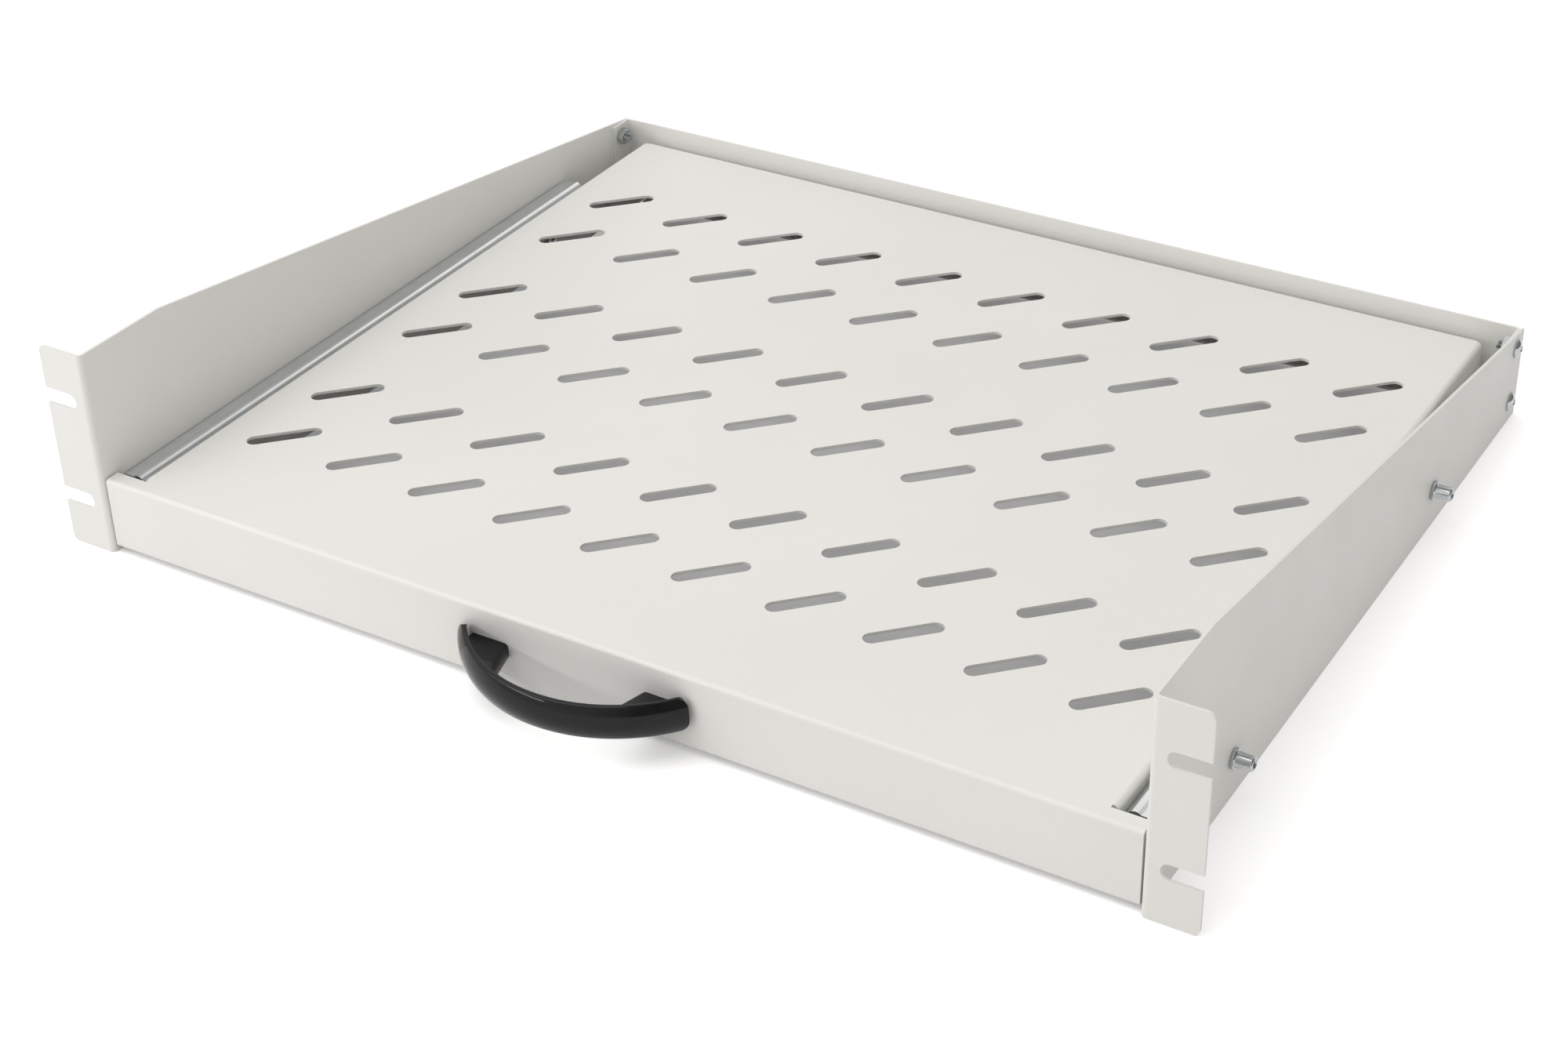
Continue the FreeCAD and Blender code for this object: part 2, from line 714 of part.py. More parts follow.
def pad_rail(body, side, section, arcs, low, high):
    """Pads a rail's section, given in u and v, between two stations along Y."""
    corners = [(slide_x(side, u), dim.slide_level + v) for u, v in section]
    centres = {}
    for number, (sign, radius) in arcs.items():
        centres[number] = ((slide_x(side, ball_u), dim.slide_level + ball_v * sign), radius)
    pad_between(body, body.Name + "_section", "XZ_Plane", corners, low, high, centres)


def slide_fasteners(name, side):
    """Rivet nuts in the plate, and the low-head screws that hold the fixed rail to them."""
    rivets, screws = [], []
    for number, y in enumerate(rivet_stations, start=1):
        rivet = rivet_nut("%s_rivet_nut_%d" % (name, number))
        place(rivet, plate_inner * side, y, dim.slide_level, (side, 0, 0))
        rivets.append(rivet)
        bolt = screw("%s_slide_screw_%d" % (name, number), frame_fastener, dim.low_head,
                     dim.low_head_height, dim.slide_screw_length)
        place(bolt, slide_x(side, dim.member_gauge), y, dim.slide_level, (-side, 0, 0))
        screws.append(bolt)
    group(name + "_rivet_nuts", rivets)
    group(name + "_slide_screws", screws)


def tray_fasteners(name, side):
    """Small screws through the moving rail and the tray's side, with nuts inside the tray."""
    screws, nuts = [], []
    for number, y in enumerate(tray_screw_stations, start=1):
        bolt = screw("%s_tray_screw_%d" % (name, number), tray_fastener, dim.small_head,
                     dim.small_head_height, dim.tray_screw_length)
        place(bolt, slide_x(side, inner_web_u), y, dim.slide_level, (side, 0, 0))
        screws.append(bolt)
        nut = hex_nut("%s_tray_nut_%d" % (name, number), tray_fastener)
        place(nut, (tray_half - dim.tray_gauge) * side, y, dim.slide_level, (-side, 0, 0))
        nuts.append(nut)
    group(name + "_tray_screws", screws)
    group(name + "_tray_nuts", nuts)


def slide_bumper(name, side):
    """Block in the rear of the fixed rail that the moving rail comes to rest against."""
    body = new_body(name + "_slide_bumper")
    x_low, x_high = sorted((slide_x(side, dim.member_gauge), slide_x(side, flange_end_u)),
                           key=lambda size: size.value)
    half = dim.bumper_height / 2
    corners = rectangle(x_low, x_high, dim.slide_level - half, dim.slide_level + half)
    pad_between(body, body.Name + "_block", "XZ_Plane", corners, slide_rear - dim.bumper_length, slide_rear)


def ball_stations():
    """Places of one row of balls along Y, spread evenly over the cage."""
    count = int(dim.balls_per_row.value)
    pitch = (cage_length - dim.cage_rim * 2) / (dim.balls_per_row - 1)
    return [cage_front + dim.cage_rim + pitch * number for number in range(count)]


def ball_cage(name, side):
    """Thin channel that keeps the balls of both rows apart."""
    body = new_body(name + "_ball_cage")
    cage_half = dim.cage_gauge / 2
    web, inside = cage_web_u, cage_web_u + dim.cage_gauge
    tip = flange_end_u - dim.cage_gauge
    low, high = ball_v - cage_half, ball_v + cage_half
    section = [(web, high), (tip, high), (tip, low), (inside, low),
               (inside, -low), (tip, -low), (tip, -high), (web, -high)]
    corners = [(slide_x(side, u), dim.slide_level + v) for u, v in section]
    pad_between(body, body.Name + "_section", "XZ_Plane", corners, cage_front, cage_front + cage_length)
    doc.recompute()
    pockets = [(slide_x(side, ball_u), y) for y in ball_stations()]
    cut_between(body, body.Name + "_pockets", "XY_Plane",
                lambda sketch: draw_circles(sketch, pockets, ball_radius + dim.pocket_play),
                dim.slide_level - high, dim.slide_level + high)


def balls(name, side):
    """Two rows of bearing balls."""
    members = []
    for word, sign in (("upper", 1), ("lower", -1)):
        for number, y in enumerate(ball_stations(), start=1):
            ball = doc.addObject("Part::Sphere", "%s_%s_ball_%d" % (name, word, number))
            bind(ball, "Radius", ball_radius)
            place(ball, slide_x(side, ball_u), y, dim.slide_level + ball_v * sign)
            members.append(ball)
    group(name + "_balls", members)


def tray():
    """Folded tray: deck with side, rear and front folds, and rows of slanting slots in pairs."""
    body = new_body("tray")
    gauge, top, under = dim.tray_gauge, dim.tray_top, deck_under
    deck_rear = tray_rear - tray_fold
    inside = tray_half - gauge
    deck = [(-tray_half, dim.flange_bottom), (-inside, dim.flange_bottom), (-inside, under), (inside, under),
            (inside, dim.flange_bottom), (tray_half, dim.flange_bottom), (tray_half, top), (-tray_half, top)]
    pad_between(body, "deck", "XZ_Plane", deck, deck_front, deck_rear)

    fold_half = tray_half - tray_fold
    bridge = rectangle(-fold_half, fold_half, under, top)
    pad_between(body, "bridge", "XZ_Plane", bridge, panel_back, deck_front)
    lip_top = dim.panel_bottom + gauge
    front = [(panel_face, dim.panel_bottom), (panel_face + dim.lip_depth, dim.panel_bottom),
             (panel_face + dim.lip_depth, lip_top), (panel_back, lip_top), (panel_back, under),
             (strip_rear, under), (strip_rear, top), (panel_face, top)]
    pad_between(body, "front_fold", "YZ_Plane", front, -panel_half, panel_half)
    rear_half = fold_half - dim.rear_corner_slit
    rear_lip_top, rear_lip_end = dim.flange_bottom + gauge, tray_rear - dim.rear_lip_depth
    rear = [(deck_rear - gauge, under), (tray_rear - gauge, under), (tray_rear - gauge, rear_lip_top),
            (rear_lip_end, rear_lip_top), (rear_lip_end, dim.flange_bottom), (tray_rear, dim.flange_bottom),
            (tray_rear, top), (deck_rear - gauge, top)]
    pad_between(body, "rear_fold_tray", "YZ_Plane", rear, -rear_half, rear_half)
    for name, side in SIDES.items():
        x_low, x_high = sorted((panel_half * side, (panel_half - gauge) * side), key=lambda size: size.value)
        end = rectangle(x_low, x_high, panel_face, strip_rear)
        pad_between(body, name + "_panel_end", "XY_Plane", end,
                    dim.panel_bottom + panel_fold, top - panel_fold)

    outside, within = dim.tray_bend + gauge, dim.tray_bend
    round_edges(body, "side_bends", "y", [(-tray_half, top), (tray_half, top)], outside)
    round_edges(body, "side_bends_inside", "y", [(-inside, under), (inside, under)], within)
    round_edges(body, "front_bends", "x", [(panel_face, top), (panel_face, dim.panel_bottom)], panel_fold)
    round_edges(body, "front_bends_inside", "x", [(panel_back, under), (panel_back, lip_top)], dim.panel_bend)
    round_edges(body, "rear_bends_tray", "x", [(tray_rear, top), (tray_rear, dim.flange_bottom)], outside)
    round_edges(body, "rear_bends_tray_inside", "x",
                [(tray_rear - gauge, under), (tray_rear - gauge, rear_lip_top)], within)

    doc.recompute()
    for name, side in SIDES.items():
        x_low, x_high = sorted((tray_half * side, inside * side), key=lambda size: size.value)
        holes = [(y, dim.slide_level) for y in tray_screw_stations]
        cut_between(body, name + "_rail_holes", "YZ_Plane",
                    lambda sketch: draw_circles(sketch, holes, tray_fastener.clear), x_low, x_high)
    handle_holes = [(handle_screw_x * side, handle_screw_level) for side in SIDES.values()]
    cut_between(body, "handle_holes", "XZ_Plane",
                lambda sketch: draw_circles(sketch, handle_holes, tray_fastener.clear),
                panel_face, panel_back)

    reach = (dim.slot_length - dim.slot_width) / 2
    step_x, step_y = reach * dim.slot_angle.cosine(), reach * dim.slot_angle.sine()
    first_x = dim.slot_margin - tray_half

    def slot_pair(sketch):
        for y in (dim.slot_setback, dim.slot_setback + dim.row_pitch):
            draw_slot(sketch, (first_x - step_x, y - step_y), (first_x + step_x, y + step_y),
                      dim.slot_width / 2)

    slots = cut_between(body, "slots", "XY_Plane", slot_pair, under, top)
    pattern = body.newObject("PartDesign::LinearPattern", "slot_rows")
    pattern.Originals = [slots]
    pattern.Direction = (origin_feature(body, "X_Axis"), [""])
    pattern.Direction2 = (origin_feature(body, "Y_Axis"), [""])
    bind(pattern, "Length", -first_x * 2)
    bind(pattern, "Length2", dim.pair_pitch * (dim.pair_count - 1))
    bind(pattern, "Occurrences", dim.column_count)
    bind(pattern, "Occurrences2", dim.pair_count)
    body.Tip = pattern


def handle():
    """Bow handle: a band with a crowned front, turned about an upright axis, on two flared feet."""
    body = new_body("handle")
    half_height = dim.band_height / 2
    crest = bow_radius + dim.band_thickness
    axis_y = panel_face - dim.handle_gap - dim.handle_bow + bow_radius
    place(body, ZERO, axis_y, dim.handle_level)

    # crowned section, turned through the angle of the bow
    crown = dim.crown_height
    crown_radius = (half_height * half_height + crown * crown) / (crown * 2)
    edge_y = -(crest - crown)
    section = rectangle(edge_y, -bow_radius, -half_height, half_height)
    sketch = new_sketch(body, "band_section", "YZ_Plane", ZERO)
    draw_outline(sketch, section, {3: ((crown_radius - crest, ZERO), crown_radius)})
    band = body.newObject("PartDesign::Revolution", "band")
    band.Profile = sketch
    band.ReferenceAxis = (sketch, ["V_Axis"])
    band.Midplane = True
    bind(band, "Angle", (half_span / bow_radius).arcsine() * 2)
    doc.recompute()

    # rounded corners of the two ends
    corner_edges = []
    for number, edge in enumerate(body.Tip.Shape.Edges, start=1):
        if isinstance(edge.Curve, Part.Line) and abs(edge.tangentAt(edge.FirstParameter).z) < 1e-6:
            corner_edges.append("Edge%d" % number)
    dress_edges(body, "band_corners", "PartDesign::Fillet", "Radius", corner_edges, dim.handle_corner)
    doc.recompute()

    # feet, from the front panel into the band
    panel_y = panel_face - axis_y
    reach = bow_radius + dim.foot_bite
    inner_tip = foot_inner - dim.foot_flare
    inner_tip_y = -(reach * reach - inner_tip * inner_tip).root()
    outer_tip_y = -(reach * reach - foot_outer * foot_outer).root()
    foot_low = -(dim.foot_drop + dim.foot_height / 2)
    foot_high = foot_low + dim.foot_height
    for name, side in SIDES.items():
        plan = [(foot_inner * side, panel_y), (foot_outer * side, panel_y),
                (foot_outer * side, outer_tip_y), (inner_tip * side, inner_tip_y)]
        pad_between(body, name + "_foot", "XY_Plane", plan, foot_low, foot_high,
                    {2: ((ZERO, ZERO), reach)})
    doc.recompute()
    corners = [Vector(foot_inner.value * side, panel_y.value, level.value)
               for side in SIDES.values() for level in (foot_low, foot_high)]
    foot_edges = []
    for number, edge in enumerate(body.Tip.Shape.Edges, start=1):
        ends = [vertex.Point for vertex in edge.Vertexes]
        starts_at_corner = any(end.distanceToPoint(corner) < 1e-4 for end in ends for corner in corners)
        if starts_at_corner and abs(ends[0].y - ends[1].y) > 1:
            foot_edges.append("Edge%d" % number)
    dress_edges(body, "foot_chamfers", "PartDesign::Chamfer", "Size", foot_edges, dim.foot_chamfer)
    doc.recompute()

    depth = dim.handle_screw_depth + dim.handle_hole_spare
    holes = [(handle_screw_x * side, -dim.foot_drop) for side in SIDES.values()]
    cut_between(body, "foot_holes", "XZ_Plane",
                lambda sketch: draw_circles(sketch, holes, tray_fastener.radius), panel_y - depth, panel_y)


def handle_fasteners():
    """Screws from behind the front panel into the feet."""
    screws = []
    for name, side in SIDES.items():
        bolt = screw("handle_screw_" + name, tray_fastener, dim.small_head, dim.small_head_height,
                     dim.tray_gauge + dim.handle_screw_depth)
        place(bolt, handle_screw_x * side, panel_back, handle_screw_level, (0, 1, 0))
        screws.append(bolt)
    group("handle_screws", screws)


for side_name, side_sign in SIDES.items():
    side_plate(side_name, side_sign)
    slide_outer_member(side_name, side_sign)
    slide_inner_member(side_name, side_sign)
    slide_fasteners(side_name, side_sign)
    tray_fasteners(side_name, side_sign)
    slide_bumper(side_name, side_sign)
    ball_cage(side_name, side_sign)
    balls(side_name, side_sign)
rear_panel()
rear_fasteners()
tray()
handle()
handle_fasteners()
doc.recompute()

# Every object has to be sound before a file is written
for item in doc.Objects:
    if "Invalid" in item.State or "Error" in item.State:
        raise RuntimeError("%s failed: %s" % (item.Name, item.State))
for label, node in nodes.items():
    if node.Shape.isNull() or not node.Shape.isValid():
        raise RuntimeError("%s has no sound shape" % label)

os.makedirs("parts", exist_ok=True)
for label, node in nodes.items():
    node.Shape.exportStep("parts/%s.step" % label)
    print("%-28s %2d solids %10.1f mm3" % (label, len(node.Shape.Solids), node.Shape.Volume))
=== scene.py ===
# %% [markdown]
# # A sliding shelf for a 19-inch rack
# The shelf is folded from painted sheet steel. Two side plates and a low strip at the back stay in
# the rack, and a slotted tray runs between them on a pair of ball slides. The solids come from the
# CAD model and keep their shapes. Here they get their finishes, and the small turned and moulded
# pieces are modelled again with the detail that a solid for a simulation leaves out.

# %% Load the frame
import json
import math

import bmesh
import bpy
from mathutils import Matrix, Vector


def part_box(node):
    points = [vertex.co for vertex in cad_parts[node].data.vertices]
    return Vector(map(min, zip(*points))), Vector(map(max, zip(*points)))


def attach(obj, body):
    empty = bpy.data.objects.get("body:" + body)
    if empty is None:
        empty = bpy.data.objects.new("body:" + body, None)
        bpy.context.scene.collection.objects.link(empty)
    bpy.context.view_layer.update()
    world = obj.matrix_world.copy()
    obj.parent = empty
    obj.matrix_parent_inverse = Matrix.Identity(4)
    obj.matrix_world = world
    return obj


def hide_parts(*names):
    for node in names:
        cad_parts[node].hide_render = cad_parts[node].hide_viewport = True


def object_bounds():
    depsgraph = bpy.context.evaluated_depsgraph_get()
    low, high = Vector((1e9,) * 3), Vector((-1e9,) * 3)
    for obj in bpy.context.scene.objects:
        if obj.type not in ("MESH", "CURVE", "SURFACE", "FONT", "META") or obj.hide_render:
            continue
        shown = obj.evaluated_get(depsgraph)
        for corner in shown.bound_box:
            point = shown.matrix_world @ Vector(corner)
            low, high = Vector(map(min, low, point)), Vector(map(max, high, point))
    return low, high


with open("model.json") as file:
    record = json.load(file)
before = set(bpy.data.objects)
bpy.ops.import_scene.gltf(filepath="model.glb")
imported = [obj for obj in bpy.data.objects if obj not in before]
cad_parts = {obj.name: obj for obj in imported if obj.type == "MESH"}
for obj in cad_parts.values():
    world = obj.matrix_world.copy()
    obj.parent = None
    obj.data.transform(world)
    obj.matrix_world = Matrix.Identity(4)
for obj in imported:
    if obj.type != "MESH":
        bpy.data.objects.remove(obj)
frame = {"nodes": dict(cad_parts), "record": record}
cad_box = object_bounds()
nodes = frame["nodes"]
MM = 0.001
SIDES = {"left": -1, "right": 1}
print("solids:", len(nodes), "size in mm:", [round((high - low) / MM, 1) for low, high in zip(*cad_box)])

# %% [markdown]
# ## Camera
# The photograph looks down on the right front corner. The camera's place and turn were worked out
# from the shelf itself: the ears of a rack panel have standard sizes, so their corners and the grid
# of slots say where the lens was. The lens is long, and the horizon leans by about one degree.

# %% Set up the camera
camera = bpy.data.objects.new("camera", bpy.data.cameras.new("camera"))
bpy.context.collection.objects.link(camera)
camera.location = (0.48165, -0.63403, 0.58462)
camera.rotation_euler = [math.radians(angle) for angle in (57.479, 1.2667, 30.9644)]
camera.data.sensor_fit = "HORIZONTAL"
camera.data.sensor_width = 36.0
camera.data.lens = 63.013
camera.data.clip_start = 0.01
bpy.context.scene.camera = camera
print("camera is", round(camera.location.length, 3), "m from the origin")

# %% [markdown]
# ## Writing materials as sums
# A finish is a small network of nodes. Linking them one by one hides what they work out, so this
# class wraps a socket, and a Python sum on it adds a Math node. Any other node comes from node().


# %% A socket that works in sums
class Wire:
    """A socket of a material's node tree."""

    def __init__(self, tree, socket=None):
        self.tree = tree
        self.socket = socket

    def node(self, kind, settings=None, inputs=None, output=0):
        """Adds a node, sets it up, then fills its sockets with values or links."""
        made = self.tree.nodes.new("ShaderNode" + kind)
        for name, value in (settings or {}).items():
            setattr(made, name, value)
        for name, value in (inputs or {}).items():
            self.fill(made.inputs[name], value)
        return Wire(self.tree, made.outputs[output])

    def fill(self, socket, value):
        if isinstance(value, Wire):
            self.tree.links.new(value.socket, socket)
        else:
            socket.default_value = value

    def sum(self, operation, first, second):
        return self.node("Math", {"operation": operation}, {0: first, 1: second})

    def __add__(self, other):
        return self.sum("ADD", self, other)

    def __sub__(self, other):
        return self.sum("SUBTRACT", self, other)

    def __rsub__(self, other):
        return self.sum("SUBTRACT", other, self)

    def __mul__(self, other):
        return self.sum("MULTIPLY", self, other)

    def span(self, low, high, start=0.0, end=1.0):
        """This value, stretched from one range to another and held inside it."""
        return self.node("MapRange", {}, {0: self, 1: low, 2: high, 3: start, 4: end})

    def tint(self, first, second):
        """A colour between two, by this value."""
        colours = {0: self, 6: (*first, 1.0), 7: (*second, 1.0)}
        return self.node("Mix", {"data_type": "RGBA"}, colours, output=2)


# %% [markdown]
# ## The finishes
# Every finish starts the same way: a Principled shader, and coordinates in metres on the object, so
# that a grain has the same size on each piece. Noise gives the grain. Stretching the coordinates
# turns the noise into streaks, as rolled strip has.


# %% Start a finish
def start_finish(name):
    """A new material: its first wire and its Principled shader."""
    material = bpy.data.materials.new(name)
    material.use_nodes = True
    return material, Wire(material.node_tree), material.node_tree.nodes["Principled BSDF"]


def grain(wire, scale, detail=2.0, stretch=None):
    """Noise on the object's own coordinates, from 0 to 1."""
    place = wire.node("TexCoord", output=3)
    if stretch:
        place = wire.node("Mapping", {}, {"Vector": place, "Scale": stretch})
    return wire.node("TexNoise", {}, {"Vector": place, "Scale": scale, "Detail": detail})


def relief(wire, height, distance, strength):
    return wire.node("Bump", {}, {"Height": height, "Distance": distance, "Strength": strength})


# %% [markdown]
# ### Powder coat
# The sheet is coated with a warm light grey powder that is baked on. It flows out to a fine orange
# peel, a ripple under a millimetre wide, and shines softly. Broad, faint patches of colour keep a
# large face from looking printed.


# %% Powder coat
def powder_coat():
    material, wire, shader = start_finish("powder_coat")
    patches = grain(wire, 9.0, 3.0)
    speckle = grain(wire, 2600.0, 1.0)
    colour = (patches * 0.6 + speckle * 0.4).span(0.3, 0.7)
    wire.fill(shader.inputs["Base Color"], colour.tint((0.765, 0.756, 0.726), (0.805, 0.797, 0.769)))
    wire.fill(shader.inputs["Roughness"], grain(wire, 40.0, 4.0).span(0.3, 0.7, 0.46, 0.6))
    peel = grain(wire, 1300.0, 2.0) + grain(wire, 420.0, 1.0) * 0.6
    wire.fill(shader.inputs["Normal"], relief(wire, peel, 0.00012, 0.45))
    return material


coat = powder_coat()
print("made", coat.name)

# %% [markdown]
# ### Zinc and steel
# The slides are rolled from bright zinc-plated strip, which shows fine streaks along its length. The
# screws and nuts are plated after they are made, so their zinc is even, with small cloudy spots.


# %% Plated metals
def plated(name, dark, light, rough, scale, stretch=None, ripple=0.15):
    material, wire, shader = start_finish(name)
    streaks = grain(wire, scale, 4.0, stretch)
    clouds = grain(wire, 120.0, 3.0)
    blend = (streaks * 0.55 + clouds * 0.45).span(0.35, 0.65)
    wire.fill(shader.inputs["Base Color"], blend.tint(dark, light))
    wire.fill(shader.inputs["Metallic"], 1.0)
    wire.fill(shader.inputs["Roughness"], blend.span(0.0, 1.0, rough[1], rough[0]))
    wire.fill(shader.inputs["Normal"], relief(wire, streaks, 0.00003, ripple))
    return material


zinc = plated("zinc_steel", (0.71, 0.74, 0.74), (0.81, 0.84, 0.84), rough=(0.07, 0.15), scale=1.0,
              stretch=(1500, 6, 1500), ripple=0.02)
fasteners = plated("plated_fasteners", (0.46, 0.49, 0.50), (0.6, 0.62, 0.63), rough=(0.06, 0.15),
                   scale=900.0, ripple=0.03)
cage_strip = plated("cage_steel", (0.38, 0.40, 0.41), (0.52, 0.54, 0.55), rough=(0.3, 0.45), scale=1.0,
                    stretch=(1200, 20, 1200))
polished = plated("ball_steel", (0.66, 0.67, 0.68), (0.74, 0.75, 0.76), rough=(0.05, 0.12),
                  scale=700.0, ripple=0.03)
print("made", [metal.name for metal in (zinc, fasteners, cage_strip, polished)])

# %% [markdown]
# ### Black plastic and rubber
# The handle is a glossy black moulding. Its skin is smooth, with a slight flow of the melt along
# the bow and hairline handling marks that break up the gloss. The end stops of the slides are rubber.


# %% Plastic and rubber
def moulded(name, dark, light, rough, scale, height, gloss):
    material, wire, shader = start_finish(name)
    flow = grain(wire, 1.0, 3.0, (30, 160, 240))
    marks = grain(wire, 1.0, 5.0, (60, 900, 2600))
    wire.fill(shader.inputs["Base Color"], flow.span(0.35, 0.65).tint(dark, light))
    wire.fill(shader.inputs["Roughness"], (flow * 0.5 + marks * 0.5).span(0.3, 0.7, *rough))
    wire.fill(shader.inputs["Normal"], relief(wire, grain(wire, scale), height, 0.3))
    wire.fill(shader.inputs["Specular IOR Level"], gloss)
    return material


black_plastic = moulded("black_plastic", (0.005, 0.005, 0.006), (0.009, 0.009, 0.010), rough=(0.05, 0.13),
                        scale=500.0, height=0.00001, gloss=0.26)
rubber = moulded("bumper_rubber", (0.035, 0.035, 0.035), (0.06, 0.06, 0.06), rough=(0.7, 0.85),
                 scale=1800.0, height=0.0001, gloss=0.5)
print("made", black_plastic.name, rubber.name)

# %% [markdown]
# ## Dress the solids
# The record says which finish each solid has. The solids' meshes stay as they are, and only their
# material slots change.

# %% Finishes for the CAD nodes
FINISHES = {"powder_coat": coat, "zinc_steel": zinc, "plated_fasteners": fasteners,
            "cage_steel": cage_strip, "ball_steel": polished, "black_plastic": black_plastic,
            "bumper_rubber": rubber}
for part in frame["record"]["subparts"]:
    for material_slot in nodes[part["node"]].material_slots:
        material_slot.material = FINISHES[part["material_slot"]]

# %% [markdown]
# ## Turned pieces
# Screws, rivet nuts and the chamfers of hexagon nuts are all shapes of a lathe. A few vertices give
# the outline, and the spin operator turns it about Z. The spin ends where it began, so its doubles
# are merged, and then the normals are made to point outwards.


# %% Helpers for meshes
def turned(outline, steps, closed=False):
    """Turns an outline of (radius, height) pairs in millimetres about Z."""
    work = bmesh.new()
    verts = [work.verts.new((radius, 0, height)) for radius, height in outline]
    ends = zip(verts, verts[1:] + verts[:1]) if closed else zip(verts, verts[1:])
    edges = [work.edges.new(pair) for pair in ends]
    bmesh.ops.spin(work, geom=verts + edges, cent=(0, 0, 0), axis=(0, 0, 1), dvec=(0, 0, 0),
                   angle=2 * math.pi, steps=steps, use_merge=True)
    bmesh.ops.remove_doubles(work, verts=work.verts, dist=0.001)
    bmesh.ops.recalc_face_normals(work, faces=work.faces)
    return work


def arc(across, up, radius, start, end, steps=3):
    """Points of an arc for an outline, between two angles in degrees."""
    turns = [math.radians(start + (end - start) * step / steps) for step in range(steps + 1)]
    return [(across + radius * math.cos(turn), up + radius * math.sin(turn)) for turn in turns]


def to_object(name, work):
    mesh = bpy.data.meshes.new(name)
    work.to_mesh(mesh)
    work.free()
    made = bpy.data.objects.new(name, mesh)
    bpy.context.collection.objects.link(made)
    return made


def combined(first, second, operation):
    """Cuts, joins or meets two closed meshes with a Boolean modifier, and returns the result."""
    base, tool = to_object("base", first), to_object("tool", second)
    modifier = base.modifiers.new("boolean", "BOOLEAN")
    modifier.operation, modifier.object, modifier.solver = operation, tool, "EXACT"
    evaluated = base.evaluated_get(bpy.context.evaluated_depsgraph_get())
    work = bmesh.new()
    work.from_mesh(evaluated.to_mesh())
    evaluated.to_mesh_clear()
    for spent in (base, tool):
        bpy.data.meshes.remove(spent.data)
    bmesh.ops.remove_doubles(work, verts=work.verts, dist=0.0005)
    return work


def repeated(work, places):
    """Copies of a mesh in millimetres, at several places in metres."""
    result = bmesh.new()
    mesh = bpy.data.meshes.new("copy")
    work.to_mesh(mesh)
    work.free()
    for place in places:
        first = len(result.verts)
        result.from_mesh(mesh)
        result.verts.ensure_lookup_table()
        bmesh.ops.transform(result, matrix=place @ Matrix.Scale(MM, 4), verts=result.verts[first:])
    bpy.data.meshes.remove(mesh)
    return result


def finish_piece(name, work, slot, body, node, sharp=35):
    """Makes a piece that stands for a CAD node and rides on its body."""
    piece = to_object(name, work)
    piece.data.materials.append(FINISHES[slot])
    piece.data.shade_smooth()
    piece.data.set_sharp_from_angle(angle=math.radians(sharp))
    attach(piece, body)
    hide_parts(node)
    print(name, "faces:", len(piece.data.polygons))


def facing(x, y, z, direction):
    """A place whose Z axis points along a direction."""
    turn = Vector((0, 0, 1)).rotation_difference(Vector(direction))
    return Matrix.Translation((x, y, z)) @ turn.to_matrix().to_4x4()


# %% [markdown]
# ### Rivet nuts
# Each plate holds two blind rivet nuts for the slide's screws. The part that shows outside is a
# barrel that widens towards the plate, with a rounded nose, an open thread, and a knurled ring where
# the setting tool pressed it against the sheet. A wave that winds round the ring pulls its vertices
# inwards and leaves slanting teeth.

# %% Rivet nuts
FLANGE_RADIUS, FLANGE, PLATE, REACH, EDGE = 4.5, 0.5, 1.2, 8.0, 0.15
BODY, NECK, RING, FLARE, TIP, NOSE = 3.0, 3.5, 3.9, 0.7, 2.76, 0.8
RING_LOW, RING_HIGH, TEETH, TOOTH_DEPTH, WINDING = 0.4, 1.4, 36, 0.03, 2.6
BORE, THREAD_DEPTH, THREADS, FIRST_CREST, FIRST_ROOT = 1.95, 0.35, 8, 0.6, 1.1


def rivet_nut():
    """A nut that points up, with the plate between Z = 0 and PLATE."""
    low, high, top = PLATE + RING_LOW, PLATE + RING_HIGH, PLATE + REACH
    outline = [(BORE + EDGE, -FLANGE), (FLANGE_RADIUS - EDGE, -FLANGE), (FLANGE_RADIUS, EDGE - FLANGE),
               (FLANGE_RADIUS, 0), (BODY, 0), (BODY, PLATE), (NECK, PLATE), (NECK, low)]
    outline += arc(RING - EDGE, low + EDGE, EDGE, -90, 0)
    outline += [(RING, low + (high - low) * share) for share in (0.35, 0.5, 0.65)]
    outline += arc(RING - EDGE, high - EDGE, EDGE, 0, 90)
    outline += arc(BODY + FLARE, high + FLARE, FLARE, 270, 180)
    outline += arc(TIP - NOSE, top - NOSE, NOSE, 0, 90, steps=6)
    for turn in range(THREADS):
        outline.append((BORE - THREAD_DEPTH, top - FIRST_CREST - turn))
        outline.append((BORE, top - FIRST_ROOT - turn))
    outline.append((BORE, EDGE - FLANGE))
    work = turned(outline, 4 * TEETH, closed=True)
    for vert in work.verts:
        if vert.co.z > PLATE and vert.co.xy.length > RING - EDGE:
            wave = math.cos(math.atan2(vert.co.y, vert.co.x) * TEETH + vert.co.z * WINDING)
            vert.co.xy *= 1 - TOOTH_DEPTH + TOOTH_DEPTH * wave
    return work


for side, sign in SIDES.items():
    low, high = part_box(side + "_rivet_nuts")
    seat = low[0] if sign > 0 else high[0]
    middle = (low[2] + high[2]) / 2
    stations = (low[1] + FLANGE_RADIUS * MM, high[1] - FLANGE_RADIUS * MM)
    spots = [facing(seat + sign * FLANGE * MM, y, middle, (sign, 0, 0)) for y in stations]
    finish_piece(side + "_rivet_nuts_turned", repeated(rivet_nut(), spots), "plated_fasteners", "frame",
                 side + "_rivet_nuts", sharp=28)

# %% [markdown]
# ### Screws
# A pan-head screw is turned as well: a domed head, a shank with the ridges of its thread, and a
# chamfered tip. The cross recess is cut with a tapered cross.

